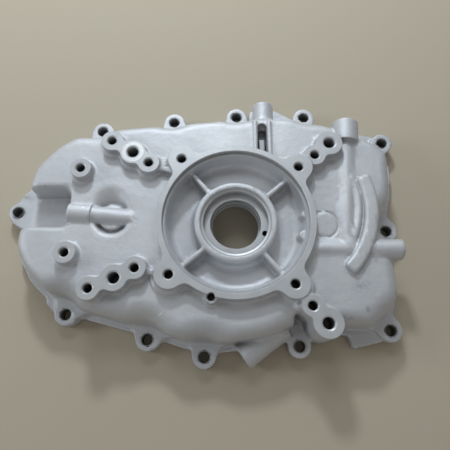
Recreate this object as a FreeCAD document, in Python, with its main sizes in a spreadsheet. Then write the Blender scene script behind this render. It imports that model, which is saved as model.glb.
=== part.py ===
import FreeCAD, Part
import math
import os
import Sketcher

# One-piece die cast aluminium engine side cover. The gasket face lies on z = 0,
# the cover stands up from it along +Z, and the shaft axis is the Z axis.
# Lengths are in millimetres and angles in degrees.

V = FreeCAD.Vector
UP = V(0, 0, 1)

SIZES = [
    ("flange_height", 9.0, "thickness of the gasket flange"),
    ("flange_margin", 6.0, "how far the flange stands out past the foot of the shell"),
    ("ear_height", 12.0, "height of the bolt ears and of the trough floor"),
    ("ear_radius", 9.0, "rounded end of a bolt ear"),
    ("ear_bore", 4.5, "radius of the clearance hole for an M8 bolt"),
    ("ear_flare", 15.0, "half width of an ear at its root"),
    ("ear_reach", 13.0, "from the bolt to the root of the ear"),
    ("shell_height", 36.0, "flat top of the shell"),
    ("shell_draft", 3.0, "how far the side walls lean in"),
    ("shoulder_radius", 7.0, "rounding between side wall and top"),
    ("wall", 4.5, "wall thickness of the shell"),
    ("ring_height", 45.0, "machined face of the pilot ring"),
    ("pilot_radius", 57.3, "bore that locates the mating part"),
    ("pilot_depth", 3.5, "depth of the located bore"),
    ("ring_width", 4.8, "width of the machined ring face"),
    ("ring_bolt_radius", 66.6, "circle of the four ring bolts"),
    ("ring_bolt_angle", 40.7, "angle of the first ring bolt"),
    ("ring_ear_radius", 9.6, "boss round a ring bolt"),
    ("recess_floor", 26.0, "floor between ring and hub"),
    ("recess_draft", 3.0, "how far the ring wall leans in above that floor"),
    ("pilot_step", 1.4, "step inward below the located bore"),
    ("recess_fillet", 4.0, "rounding at the foot of hub and ring"),
    ("rib_width", 3.6, "ribs between hub and ring"),
    ("rib_drop", 1.5, "ribs lie this much below the hub face"),
    ("hub_height", 38.0, "machined face of the hub"),
    ("hub_radius", 32.8, "outside of the hub"),
    ("seal_radius", 26.0, "bore for the shaft seal"),
    ("seal_depth", 8.0, "depth of the seal bore"),
    ("seal_chamfer", 1.6, "chamfer at the mouth of the seal bore"),
    ("shaft_radius", 20.5, "bore between seal and bearing"),
    ("lip_radius", 19.0, "shoulder that the bearing seats against"),
    ("lip_thickness", 1.6, "thickness of that shoulder"),
    ("bearing_radius", 26.0, "bore for the main bearing"),
    ("bearing_depth", 18.0, "depth of the bearing bore, from the gasket face"),
    ("boss_height", 44.0, "top of the threaded bosses"),
    ("block_root", 20.0, "lower end of the blocks below the bosses, inside the shell"),
    ("block_width", 15.0, "width of those blocks"),
    ("small_boss_radius", 7.6, "boss with an M8 thread"),
    ("large_boss_radius", 8.9, "boss with an M10 thread"),
    ("foot_boss_radius", 10.3, "large boss that stands on the flange"),
    ("boss_web", 9.0, "width of the webs between bosses"),
    ("small_drill", 3.4, "core radius of an M8 thread"),
    ("large_drill", 4.25, "core radius of an M10 thread"),
    ("thread_depth", 18.0, "depth of the threaded holes"),
    ("tie_height", 40.5, "top of the low ties between bosses and ring"),
    ("tie_width", 5.0, "thickness of those ties"),
    ("gallery_level", 31.0, "height of the oil galleries"),
    ("gallery_radius", 7.2, "cast tube round a gallery"),
    ("side_port_radius", 8.2, "port at the end of the cross gallery"),
    ("upper_port_radius", 11.0, "port at the end of the long gallery"),
    ("breather_level", 22.0, "height of the breather port"),
    ("breather_radius", 9.3, "outside of the breather port"),
    ("drain_level", 11.0, "height of the drain port"),
    ("drain_radius", 10.4, "outside of the drain port"),
    ("port_depth", 20.0, "depth of the ports"),
    ("tube_level", 32.0, "height of the stepped tube in the trough"),
    ("tube_mouth_radius", 8.0, "thick end of the stepped tube"),
    ("tube_radius", 7.1, "thin end of the stepped tube"),
    ("port_bore", 5.0, "drilled radius of the ports"),
    ("port_bore_depth", 14.0, "depth of the port drillings"),
    ("dish_radius", 18.5, "wall round the dish at the inner end of the stepped tube"),
    ("dish_floor_radius", 12.5, "floor of that dish"),
    ("dish_depth", 7.0, "depth of that dish"),
    ("dish_slope", 20.0, "slope of the side of the dish"),
    ("guide_height", 41.0, "top of the curved guide ridge"),
    ("guide_width", 10.6, "width of the curved guide ridge"),
    ("thin_ridge_width", 2.6, "width of the thin ridge beside the guide"),
    ("thin_ridge_height", 38.0, "top of that thin ridge"),
    ("pad_radius", 10.4, "round pad beside the ring"),
    ("pad_rise", 0.8, "rise of the round pad"),
    ("slot_width", 7.2, "slot below the breather port"),
    ("slot_depth", 12.0, "depth of that slot"),
    ("slot_rim", 4.2, "raised rim each side of the slot"),
    ("slot_rim_rise", 1.0, "rise of that rim above the shell"),
    ("inner_rib_width", 4.0, "thickness of the ribs on the inner side"),
    ("inner_rib_depth", 9.0, "depth of the ribs on the inner side"),
    ("locator_bore", 2.7, "radius of the locating hole beside the ring"),
    ("locator_depth", 10.0, "depth of that hole"),
    ("locator_boss_radius", 5.4, "boss of the locating hole"),
    ("locator_boss_height", 41.0, "top of that boss"),
    ("bump_radius", 4.6, "half round bumps on the ring's inner wall"),
    ("bump_height", 11.0, "height of those bumps"),
    ("oil_bore", 2.3, "radius of the oil hole in the seal seat"),
    ("oil_depth", 16.0, "depth of that hole, which meets the bearing bore"),
    ("dowel_radius", 4.0, "dowel hole in the gasket face"),
    ("dowel_depth", 6.5, "depth of a dowel hole"),
]

# Corners of the shell's foot, clockwise from the left: x, y, rounding
SHELL = [
    (-172, 22, 16), (-167, 50, 22), (-150, 68, 20), (-136, 79, 14), (-118, 78, 12), (-101, 87.5, 18),
    (-60, 92, 40), (10, 98.5, 60), (52, 98.5, 30), (84, 90, 20), (108, 78, 16), (122, 75.5, 14),
    (132, 61, 14), (129.5, 32, 18), (123.5, 8, 20), (124.8, -52, 24), (120, -72, 14), (106, -80, 14),
    (48, -79, 12), (22, -88, 14), (-12, -93, 24), (-38, -90.5, 20), (-62, -82.5, 18), (-112, -69.5, 30),
    (-124, -66, 14), (-134, -57.5, 12), (-146, -55.5, 16), (-162, -40, 22), (-173, -20, 20),
]
# Open trough on the left, at the height of the ears
TROUGH = [(-184, -2.5, 0), (-184, 30, 0), (-137, 28, 4), (-136, -3.5, 4)]
# Pocket at flange level beside the lower right bosses
NOTCH = [(44.5, -90, 0), (44.5, -70.5, 3), (57, -70.5, 3), (57, -90, 0)]

# Bolt ears of the gasket flange: x, y, and the direction to the shell
EARS = [
    (-55.1, 103.1, 264), (2.0, 108.6, 265), (63.8, 108.1, 248), (133.0, 82.0, 215),
    (127.4, -0.7, 180), (122.0, -82.3, 135), (49.7, -94.2, 95), (-24.7, -102.1, 92),
    (-69.5, -89.0, 72), (-135.4, -69.8, 62), (-186.0, 16.2, 0), (-119.9, 93.8, 292),
]
# Flange plates that carry the ports
PLATES = [
    [(12, 95, 0), (14, 117, 4), (38, 117, 4), (54, 108, 4), (56, 95, 0)],
    [(100, 78, 0), (108, 93, 4), (126, 90, 4), (130, 72, 0)],
    [(86, -80, 0), (112, -80, 0), (116, -90.5, 3), (92.5, -96, 3)],
]

SMALL_BOSSES = [(-101.0, 67.3), (-70.1, 47.7), (-76.2, -38.3), (-109.6, -53.6), (64.3, 54.5),
                (-124.5, 43.0), (-130.0, -26.5)]
LARGE_BOSSES = [(-83.4, 57.1), (-91.2, -45.8), (76.8, 65.4)]
FOOT_SMALL = (55.4, -66.2)
FOOT_LARGE = (66.0, -78.6)
# Webs from boss to boss
WEBS = [
    ((-101.0, 67.3), (-83.4, 57.1)), ((-83.4, 57.1), (-70.1, 47.7)),
    ((-109.6, -53.6), (-91.2, -45.8)), ((-91.2, -45.8), (-76.2, -38.3)),
    ((50.4, 43.5), (64.3, 54.5)), ((64.3, 54.5), (76.8, 65.4)),
]
# Blocks that carry the threads inside the shell, by the line along each one
BLOCKS = [
    ((-101.0, 67.3), (-70.1, 47.7)), ((-109.6, -53.6), (-76.2, -38.3)), ((64.3, 54.5), (76.8, 65.4)),
    ((-125.5, 43.0), (-123.5, 43.0)), ((-131.0, -26.5), (-129.0, -26.5)),
]
# Low ties from the inner bosses to the ring
TIES = [((-66.0, 45.5), (-53.0, 42.0)), ((-72.0, -39.0), (-55.0, -43.0))]
GUIDE = [(102.8, 38.0), (107.0, 8.0), (86.8, -37.6)]
THIN_RIDGE = [(95.6, 37.5), (98.6, 6.0), (83.5, -30.0)]
PAD = (69.8, -2.4)
DISH = (-98.7, 5.4)
# Slot: x of its middle, and its ends along y
SLOT = (22.9, 60.0, 84.0)
# Axis points of the galleries, ports and tube
CROSSING = (86.5, -21.5)
UPPER_PORT = (95.0, 90.0)
SIDE_PORT_X = 130.0
RING_SIDE_X = 57.5
BREATHER_PORT = (25.0, 112.5)
DRAIN_PORT = (5.1, -102.2)
DRAIN_HEADING = 215.8
TUBE_OUTER = (-135.5, 11.4)
TUBE_STEP = (-119.8, 10.6)
TUBE_INNER = (-84.0, 8.8)
LOCATOR = (-18.8, -60.6)
RECESS_BUMPS = [(55.4, -6.8), (57.2, 9.8)]
OIL_HOLE = (23.4, -8.0)
INNER_RIBS = [
    ((-58, 0), (-133, -14)), ((-52, 26), (-118, 66)), ((-52, -26), (-120, -52)), ((4, 58), (6, 91)),
    ((58, 8), (118, 18)), ((50, -30), (112, -64)), ((-10, -58), (-14, -84)), ((46, 36), (110, 68)),
]
DOWELS = [(42.0, 106.0), (98.0, -87.0)]


def new_sheet(doc):
    """Spreadsheet with one named cell for each driving dimension."""
    sheet = doc.addObject("Spreadsheet::Sheet", "Sizes")
    for row, (name, value, note) in enumerate(SIZES, 1):
        sheet.set(f"A{row}", name)
        sheet.set(f"B{row}", str(value))
        sheet.set(f"C{row}", note)
        sheet.setAlias(f"B{row}", name)
    doc.recompute()
    return sheet


doc = FreeCAD.newDocument("DieCastHousing")
sheet = new_sheet(doc)


def size(name):
    return float(sheet.get(name))


def new_body(doc, name):
    return doc.addObject("PartDesign::Body", name)


def origin_plane(body, role):
    return next(f for f in body.Origin.OriginFeatures if f.Role == role)


def new_sketch(body, name, level="0"):
    """Sketch parallel to the gasket face; level is an expression for its height."""
    sketch = body.newObject("Sketcher::SketchObject", name)
    sketch.AttachmentSupport = [(origin_plane(body, "XY_Plane"), "")]
    sketch.MapMode = "FlatFace"
    sketch.setExpression("AttachmentOffset.Base.z", level)
    return sketch


def add_loop(sketch, curves):
    """Adds a closed run of curves and joins each one to the next."""
    first = sketch.GeometryCount
    sketch.addGeometry(curves, False)
    ends = [(1, 2) for curve in curves]
    for i, curve in enumerate(curves):
        if (sketch.getPoint(first + i, 2) - curve.EndPoint).Length > 1e-6:
            ends[i] = (2, 1)
    joins = []
    for i in range(len(curves)):
        j = (i + 1) % len(curves)
        joins.append(Sketcher.Constraint("Coincident", first + i, ends[i][1], first + j, ends[j][0]))
    sketch.addConstraint(joins)


def grown(corners, grow):
    """Clockwise corners moved outward by grow, with their roundings to suit; sharp ones stay sharp."""
    points = [V(x, y, 0) for x, y, r in corners]
    result = []
    for i, (x, y, r) in enumerate(corners):
        into = (points[i] - points[i - 1]).normalize()
        out = (points[(i + 1) % len(points)] - points[i]).normalize()
        normals = V(-into.y - out.y, into.x + out.x, 0)
        moved = points[i] + normals * (grow / (1 + into.dot(out)))
        convex = into.cross(out).z < 0
        rounding = max(r + grow if convex else r - grow, 0.5)
        result.append((moved.x, moved.y, rounding if r else 0))
    return result


def eased(corners):
    """The same corners, made sharp wherever the outline turns by less than 25 degrees."""
    points = [V(x, y, 0) for x, y, r in corners]
    result = []
    for i, (x, y, r) in enumerate(corners):
        turn = (points[i] - points[i - 1]).getAngle(points[(i + 1) % len(points)] - points[i])
        result.append((x, y, r if turn > math.radians(25) else 0))
    return result


def rounded_loop(corners):
    """Lines between the corners and a tangent arc at each one that has a rounding."""
    count = len(corners)
    points = [V(x, y, 0) for x, y, r in corners]
    arcs = []
    for i, (x, y, r) in enumerate(corners):
        if not r:
            arcs.append((points[i], None, points[i]))
            continue
        back = points[i - 1] - points[i]
        on = points[(i + 1) % count] - points[i]
        half = back.getAngle(on) / 2
        reach = min(r / math.tan(half), 0.48 * back.Length, 0.48 * on.Length)
        radius = reach * math.tan(half)
        back.normalize()
        on.normalize()
        middle = points[i] + (back + on).normalize() * (radius / math.sin(half) - radius)
        arcs.append((points[i] + back * reach, middle, points[i] + on * reach))
    curves = []
    for i, (start, middle, end) in enumerate(arcs):
        if middle is not None:
            curves.append(Part.Arc(start, middle, end))
        curves.append(Part.LineSegment(end, arcs[(i + 1) % count][0]))
    return curves


def add_circle(sketch, x, y, radius):
    """Circle at a fixed centre whose radius is bound to the sheet."""
    index = sketch.addGeometry(Part.Circle(V(x, y, 0), UP, size(radius)), False)
    sketch.addConstraint(Sketcher.Constraint("DistanceX", -1, 1, index, 3, x))
    sketch.addConstraint(Sketcher.Constraint("DistanceY", -1, 1, index, 3, y))
    label = f"radius_{index}"
    number = sketch.addConstraint(Sketcher.Constraint("Radius", index, size(radius)))
    sketch.renameConstraint(number, label)
    sketch.setExpression(f"Constraints.{label}", f"Sizes.{radius}")


def feature(body, kind, name, profile, length, reverse=False, taper=None):
    """Pad or Pocket of a sketch; length is an expression."""
    item = body.newObject(f"PartDesign::{kind}", name)
    item.Profile = profile
    item.Refine = False
    item.Reversed = reverse
    item.setExpression("Length", length)
    if taper:
        item.setExpression("TaperAngle", taper)
    profile.Visibility = False
    return item


def pad(body, name, profile, length, reverse=False, taper=None):
    return feature(body, "Pad", name, profile, length, reverse, taper)


def pocket(body, name, profile, length, reverse=False, taper=None):
    return feature(body, "Pocket", name, profile, length, reverse, taper)


def shell_loft(body, kind, name, outline, inset, top, turns):
    """Loft of an outline from the gasket face to top, with a round shoulder."""
    draft = size("shell_draft")
    radius = size("shoulder_radius")
    steps = [(0, 0), (top - radius, draft)]
    for angle in turns:
        turn = math.radians(angle)
        rise = radius * math.sin(turn)
        steps.append((top - radius + rise, draft + radius * (1 - math.cos(turn))))
    sketches = []
    for i, (level, lean) in enumerate(steps):
        sketch = new_sketch(body, f"{name}Section{i}", str(level))
        add_loop(sketch, rounded_loop(grown(outline, -inset - lean)))
        sketches.append(sketch)
    loft = body.newObject(f"PartDesign::{kind}", name)
    loft.Profile = sketches[0]
    loft.Sections = sketches[1:]
    loft.Ruled = True
    loft.Refine = False
    return loft


def ear_curves(x, y, heading):
    """Round end, two hollow flanks and a straight root."""
    radius = size("ear_radius")
    reach = size("ear_reach")
    flare = size("ear_flare")
    turn = math.radians(heading)

    def at(along, across):
        return V(x + along * math.cos(turn) - across * math.sin(turn),
                 y + along * math.sin(turn) + across * math.cos(turn), 0)

    lean = math.radians(20)
    touch = (-radius * math.sin(lean), radius * math.cos(lean))
    waist = (reach * 0.45, (radius + flare) * 0.5 - 2.6)
    left = at(*touch)
    right = at(touch[0], -touch[1])
    return [
        Part.Arc(left, at(-radius, 0), right),
        Part.Arc(right, at(waist[0], -waist[1]), at(reach, -flare)),
        Part.LineSegment(at(reach, -flare), at(reach, flare)),
        Part.Arc(at(reach, flare), at(*waist), left),
    ]


def bar_curves(start, end, width, trim=0):
    """Rectangle of the given width along a line, trimmed at both ends."""
    a, b = V(*start, 0), V(*end, 0)
    way = (b - a).normalize()
    a += way * trim
    b -= way * trim
    side = way.cross(UP) * (width / 2)
    corners = [a + side, b + side, b - side, a - side]
    return [Part.LineSegment(corners[i], corners[(i + 1) % 4]) for i in range(4)]


def add_cylinder(body, name, radius, length, base, direction):
    """Cylinder from base along direction; radius is an expression."""
    item = body.newObject("PartDesign::AdditiveCylinder", name)
    item.Refine = False
    item.setExpression("Radius", radius)
    item.Height = length
    item.AttachmentSupport = [(origin_plane(body, "XY_Plane"), "")]
    item.MapMode = "FlatFace"
    item.AttachmentOffset = FreeCAD.Placement(base, FreeCAD.Rotation(UP, direction))
    return item


def revolve(body, kind, name, points):
    """Full turn of a closed profile, given as radius and height, about the shaft axis."""
    sketch = body.newObject("Sketcher::SketchObject", f"{name}Profile")
    sketch.AttachmentSupport = [(origin_plane(body, "XZ_Plane"), "")]
    sketch.MapMode = "FlatFace"
    corners = [V(r, z, 0) for r, z in points]
    lines = [Part.LineSegment(corners[i - 1], corners[i]) for i in range(len(corners))]
    add_loop(sketch, lines)
    item = body.newObject(f"PartDesign::{kind}", name)
    item.Profile = sketch
    item.ReferenceAxis = (sketch, ["V_Axis"])
    item.Angle = 360
    item.Refine = False
    return item


def build_flange(body):
    outline = new_sketch(body, "FlangeOutline")
    add_loop(outline, rounded_loop(grown(SHELL, size("flange_margin"))))
    pad(body, "Flange", outline, "Sizes.flange_height")
    ears = new_sketch(body, "EarOutlines")
    for x, y, heading in EARS:
        add_loop(ears, ear_curves(x, y, heading))
    pad(body, "Ears", ears, "Sizes.ear_height")
    plates = new_sketch(body, "PlateOutlines")
    for corners in PLATES:
        add_loop(plates, rounded_loop(corners))
    pad(body, "Plates", plates, "Sizes.flange_height")


def build_inlet(body, name, corners, edge, outward):
    """Walls round an open inlet in the shell, then the inlet itself.

    The walls end at the shell's own side: edge is its foot there, outward points away from it.
    """
    levels = [
        ("Foot", size("wall") * 0.5, "Sizes.shell_height - Sizes.shoulder_radius"),
        ("Wall", size("shoulder_radius") + 1, "Sizes.shell_height - Sizes.wall / 2"),
    ]
    for part, inset, height in levels:
        lining = []
        for x, y, r in grown(corners, size("wall")):
            over = max(0, V(x, y, 0).dot(outward) - edge + inset)
            lining.append((x - outward.x * over, y - outward.y * over, r))
        outline = new_sketch(body, f"{name}{part}Outline")
        add_loop(outline, rounded_loop(lining))
        pad(body, f"{name}{part}", outline, height)
    inlet = new_sketch(body, f"{name}Outline", "Sizes.ear_height")
    add_loop(inlet, rounded_loop(corners))
    pocket(body, name, inlet, "Sizes.shell_height", reverse=True)


def build_dish(body):
    """Dish round the inner end of the stepped tube, with its wall on the inner side."""
    lining = new_sketch(body, "DishWallOutline", "Sizes.shell_height - Sizes.wall / 2")
    add_circle(lining, *DISH, "dish_radius")
    pad(body, "DishWall", lining, "Sizes.dish_depth + Sizes.wall / 2", reverse=True)
    dish = new_sketch(body, "DishOutline", "Sizes.shell_height - Sizes.dish_depth")
    add_circle(dish, *DISH, "dish_floor_radius")
    pocket(body, "Dish", dish, "Sizes.dish_depth + 1", reverse=True, taper="Sizes.dish_slope")


def build_slot(body):
    """Narrow slot below the breather port, with a raised rim each side of it."""
    x, low, high = SLOT
    outer = size("slot_width") / 2 + size("slot_rim")
    rims = new_sketch(body, "SlotRimOutline", "Sizes.shell_height - Sizes.slot_depth - Sizes.wall")
    block = [(x - outer, low, 0), (x - outer, high + 2, 3), (x + outer, high + 2, 3), (x + outer, low, 0)]
    add_loop(rims, rounded_loop(block))
    pad(body, "SlotRims", rims, "Sizes.slot_depth + Sizes.wall + Sizes.slot_rim_rise")
    inner = size("slot_width") / 2
    slot = new_sketch(body, "SlotOutline", "Sizes.shell_height - Sizes.slot_depth")
    foot = low - 2
    gap = [(x - inner, foot, 0), (x - inner, high, inner), (x + inner, high, inner), (x + inner, foot, 0)]
    add_loop(slot, rounded_loop(gap))
    pocket(body, "Slot", slot, "Sizes.slot_depth + Sizes.slot_rim_rise + 1", reverse=True)


def build_inner_ribs(body):
    """Stiffening ribs below the shell's top, from the ring out to the side walls."""
    ribs = new_sketch(body, "InnerRibOutlines", "Sizes.shell_height - Sizes.wall / 2")
    for start, end in INNER_RIBS:
        add_loop(ribs, bar_curves(start, end, size("inner_rib_width")))
    pad(body, "InnerRibs", ribs, "Sizes.inner_rib_depth + Sizes.wall / 2", reverse=True)


def build_shell(doc):
    body = new_body(doc, "Shell")
    build_flange(body)
    shell_loft(body, "AdditiveLoft", "Dome", SHELL, 0, size("shell_height"), (45, 90))
    ceiling = size("shell_height") - size("wall")
    shell_loft(body, "SubtractiveLoft", "Cavity", eased(SHELL), size("wall"), ceiling, (90,))
    build_inner_ribs(body)
    build_inlet(body, "Trough", TROUGH, 170.5, V(-1, 0, 0))
    build_inlet(body, "Notch", NOTCH, 79.5, V(0, -1, 0))
    build_dish(body)
    build_slot(body)
    well = new_sketch(body, "RingWellOutline")
    add_circle(well, 0, 0, "pilot_radius")
    pocket(body, "RingWell", well, "Sizes.ring_height", reverse=True)
    return body


def build_ring(body):
    """Solid of the pilot ring, the recess floor and the bearing hub.

    The hub ends level with the gasket face.
    """
    outer = size("pilot_radius") + size("ring_width")
    hub = size("hub_radius")
    floor = size("recess_floor")
    under = floor - size("wall")
    top = size("ring_height")
    points = [
        (0, 0), (hub, 0), (hub, under), (outer, under), (outer, top), (0, top),
    ]
    revolve(body, "Revolution", "RingAndHub", points)
    angle = math.radians(size("ring_bolt_angle"))
    way = V(math.cos(angle), math.sin(angle), 0)
    bolt = way * size("ring_bolt_radius")
    ear = new_sketch(body, "RingEarOutline", "Sizes.ring_height")
    add_circle(ear, bolt.x, bolt.y, "ring_ear_radius")
    depth = "Sizes.ring_height - Sizes.shell_height + Sizes.wall / 2"
    polar_copies(body, "RingEars", pad(body, "RingEar", ear, depth, reverse=True))
    inner = way * size("pilot_radius")
    end = bolt + way * (size("block_width") / 2)
    block = new_sketch(body, "RingBlockOutline", "Sizes.block_root")
    add_loop(block, bar_curves((inner.x, inner.y), (end.x, end.y), size("block_width")))
    height = "Sizes.shell_height - Sizes.wall + 1 - Sizes.block_root"
    polar_copies(body, "RingBlocks", pad(body, "RingBlock", block, height))


def build_recess(body):
    """Space between ring and hub, its four ribs, and the bores on the shaft axis."""
    top = size("ring_height")
    floor = size("recess_floor")
    pilot = size("pilot_radius")
    step = top - size("pilot_depth")
    throat = pilot - size("pilot_step")
    foot = throat - size("recess_draft")
    hub = size("hub_radius")
    soft = size("recess_fillet")
    recess = [
        (hub, top + 1), (pilot, top + 1), (pilot, step), (throat, step),
        (foot, floor + soft), (foot - soft, floor), (hub + soft, floor), (hub, floor + soft),
    ]
    revolve(body, "Groove", "Recess", recess)
    angle = math.radians(size("ring_bolt_angle"))
    way = V(math.cos(angle), math.sin(angle), 0)
    start = way * (hub - 2)
    end = way * (pilot + 1)
    rib = new_sketch(body, "RibOutline", "Sizes.hub_height - Sizes.rib_drop")
    add_loop(rib, bar_curves((start.x, start.y), (end.x, end.y), size("rib_width")))
    depth = "Sizes.hub_height - Sizes.rib_drop - Sizes.recess_floor + 1"
    polar_copies(body, "Ribs", pad(body, "Rib", rib, depth, reverse=True))
    seal_floor = size("hub_height") - size("seal_depth")
    lip = size("bearing_depth")
    lip_top = lip + size("lip_thickness")
    mouth = size("seal_chamfer")
    bore = [
        (0, -1), (size("bearing_radius"), -1), (size("bearing_radius"), lip),
        (size("lip_radius"), lip), (size("lip_radius"), lip_top),
        (size("shaft_radius"), lip_top), (size("shaft_radius"), seal_floor),
        (size("seal_radius"), seal_floor), (size("seal_radius"), size("hub_height") - mouth),
        (size("seal_radius") + mouth, size("hub_height")), (hub + 1, size("hub_height")),
        (hub + 1, top + 1), (0, top + 1),
    ]
    revolve(body, "Groove", "ShaftBore", bore)
    bumps = new_sketch(body, "RecessBumpOutlines", "Sizes.recess_floor - 1")
    for x, y in RECESS_BUMPS:
        add_circle(bumps, x, y, "bump_radius")
    pad(body, "RecessBumps", bumps, "Sizes.bump_height")


def polar_copies(body, name, original):
    """Four copies a quarter turn apart about the shaft axis."""
    pattern = body.newObject("PartDesign::PolarPattern", name)
    pattern.Originals = [original]
    pattern.Axis = (origin_plane(body, "Z_Axis"), [""])
    pattern.Angle = 360
    pattern.Occurrences = 4
    pattern.Refine = False
    body.Tip = pattern


def build_bosses(body):
    """Threaded bosses, the webs between them, and the blocks below them inside the shell."""
    depth = "Sizes.boss_height - Sizes.shell_height + Sizes.wall / 2"
    whole = "Sizes.boss_height"
    groups = [
        ("SmallBosses", SMALL_BOSSES, "small_boss_radius", depth),
        ("LargeBosses", LARGE_BOSSES, "large_boss_radius", depth),
        ("FootSmallBoss", [FOOT_SMALL], "small_boss_radius", whole),
        ("FootLargeBoss", [FOOT_LARGE], "foot_boss_radius", whole),
    ]
    for name, centres, radius, length in groups:
        sketch = new_sketch(body, f"{name}Outline", "Sizes.boss_height")
        for x, y in centres:
            add_circle(sketch, x, y, radius)
        pad(body, name, sketch, length, reverse=True)
    trim = size("boss_web") * 0.6
    link = new_sketch(body, "FootWebOutline", "Sizes.boss_height")
    add_loop(link, bar_curves(FOOT_SMALL, FOOT_LARGE, size("boss_web"), trim))
    pad(body, "FootWeb", link, whole, reverse=True)
    webs = new_sketch(body, "WebOutlines", "Sizes.boss_height")
    for start, end in WEBS:
        add_loop(webs, bar_curves(start, end, size("boss_web"), trim))
    pad(body, "Webs", webs, depth, reverse=True)
    blocks = new_sketch(body, "BlockOutlines", "Sizes.block_root")
    width = size("block_width")
    for start, end in BLOCKS:
        add_loop(blocks, bar_curves(start, end, width, -width / 2))
    pad(body, "Blocks", blocks, "Sizes.shell_height - Sizes.wall + 1 - Sizes.block_root")
    locator = new_sketch(body, "LocatorBossOutline", "Sizes.locator_boss_height")
    add_circle(locator, *LOCATOR, "locator_boss_radius")
    pad(body, "LocatorBoss", locator, "Sizes.locator_boss_height - Sizes.shell_height + 2", reverse=True)
    ties = new_sketch(body, "TieOutlines", "Sizes.tie_height")
    for start, end in TIES:
        add_loop(ties, bar_curves(start, end, size("tie_width")))
    pad(body, "Ties", ties, "Sizes.tie_height - Sizes.shell_height + Sizes.wall", reverse=True)


def arc_band(start, middle, end, width):
    """Band of constant width along the arc through three points."""
    spine = Part.Circle(start, middle, end)
    sides = []
    for radius in (spine.Radius + width / 2, spine.Radius - width / 2):
        sides.append([spine.Center + (p - spine.Center).normalize() * radius for p in (start, middle, end)])
    outer, inner = sides
    return [
        Part.Arc(*outer), Part.LineSegment(outer[2], inner[2]),
        Part.Arc(*reversed(inner)), Part.LineSegment(inner[0], outer[0]),
    ]


def build_guide(body):
    """Curved guide ridge, the thin ridge beside it, and the round pad."""
    inside = "Sizes.shell_height - Sizes.wall / 2"
    for name, points, width, height in (("Guide", GUIDE, "guide_width", "guide_height"),
                                        ("ThinRidge", THIN_RIDGE, "thin_ridge_width", "thin_ridge_height")):
        sketch = new_sketch(body, f"{name}Outline", inside)
        add_loop(sketch, arc_band(*[V(x, y, 0) for x, y in points], size(width)))
        pad(body, name, sketch, f"Sizes.{height} - Sizes.shell_height + Sizes.wall / 2")
    disc = new_sketch(body, "PadOutline", inside)
    add_circle(disc, *PAD, "pad_radius")
    pad(body, "RoundPad", disc, "Sizes.pad_rise + Sizes.wall / 2")


def tube_ends():
    """Axis ends of each gallery and port: inner end, outer end."""
    level = size("gallery_level")
    way = (V(*UPPER_PORT, 0) - V(*CROSSING, 0)).normalize()
    upper = V(*UPPER_PORT, level)
    side = V(SIDE_PORT_X, CROSSING[1], level)
    drain = V(*DRAIN_PORT, size("drain_level"))
    drain_way = V(math.cos(math.radians(DRAIN_HEADING)), math.sin(math.radians(DRAIN_HEADING)), 0)
    breather = V(*BREATHER_PORT, size("breather_level"))
    depth = size("port_depth")
    tube_level = size("tube_level")
    mouth = V(*TUBE_OUTER, tube_level)
    return {
        "LongGallery": (V(*CROSSING, level), upper, "gallery_radius"),
        "UpperPort": (upper - way * depth, upper, "upper_port_radius"),
        "CrossGallery": (V(RING_SIDE_X, CROSSING[1], level), side, "gallery_radius"),
        "SidePort": (side - V(depth * 1.2, 0, 0), side, "side_port_radius"),
        "Breather": (breather - V(0, depth * 1.3, 0), breather, "breather_radius"),
        "Drain": (drain - drain_way * depth * 1.9, drain, "drain_radius"),
        "SteppedTube": (V(*TUBE_INNER, tube_level), mouth, "tube_radius"),
        "TubeMouth": (V(*TUBE_STEP, tube_level), mouth, "tube_mouth_radius"),
    }


def build_tubes(body):
    for name, (inner, outer, radius) in tube_ends().items():
        way = outer - inner
        add_cylinder(body, name, f"Sizes.{radius}", way.Length, inner, way)


def build_fittings(doc):
    body = new_body(doc, "Fittings")
    build_ring(body)
    build_bosses(body)
    build_guide(body)
    build_tubes(body)
    build_recess(body)
    return body


def ring_bolts():
    """Centres of the four ring bolts."""
    turns = [math.radians(size("ring_bolt_angle") + 90 * i) for i in range(4)]
    return [(size("ring_bolt_radius") * math.cos(a), size("ring_bolt_radius") * math.sin(a)) for a in turns]


def build_drillings(doc):
    """Everything that is drilled, as one body to cut away."""
    body = new_body(doc, "Drillings")
    clearance = new_sketch(body, "EarHoles", "-1")
    for x, y, heading in EARS:
        add_circle(clearance, x, y, "ear_bore")
    pad(body, "EarDrill", clearance, "Sizes.ear_height + 2")
    dowels = new_sketch(body, "DowelHoles", "-1")
    for x, y in DOWELS:
        add_circle(dowels, x, y, "dowel_radius")
    pad(body, "DowelDrill", dowels, "Sizes.dowel_depth + 1")
    threads = [
        ("Small", SMALL_BOSSES + [FOOT_SMALL], "small_drill", "boss_height"),
        ("Large", LARGE_BOSSES + [FOOT_LARGE], "large_drill", "boss_height"),
        ("Ring", ring_bolts(), "small_drill", "ring_height"),
    ]
    for name, centres, bore, face in threads:
        drill = new_sketch(body, f"{name}Holes", f"Sizes.{face} + 1")
        for x, y in centres:
            add_circle(drill, x, y, bore)
        pad(body, f"{name}Drill", drill, "Sizes.thread_depth + 1", reverse=True)
    locator = new_sketch(body, "LocatorHole", "Sizes.ring_height + 1")
    add_circle(locator, *LOCATOR, "locator_bore")
    pad(body, "LocatorDrill", locator, "Sizes.locator_depth + 1", reverse=True)
    oil = new_sketch(body, "OilHole", "Sizes.hub_height - Sizes.seal_depth + 1")
    add_circle(oil, *OIL_HOLE, "oil_bore")
    pad(body, "OilDrill", oil, "Sizes.oil_depth", reverse=True)
    for name, (inner, outer, radius) in tube_ends().items():
        if name in ("Breather", "Drain", "TubeMouth", "UpperPort", "SidePort"):
            way = (outer - inner).normalize()
            base = outer - way * size("port_bore_depth")
            add_cylinder(body, f"{name}Drill", "Sizes.port_bore", size("port_bore_depth") + 1, base, way)
    return body


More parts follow.
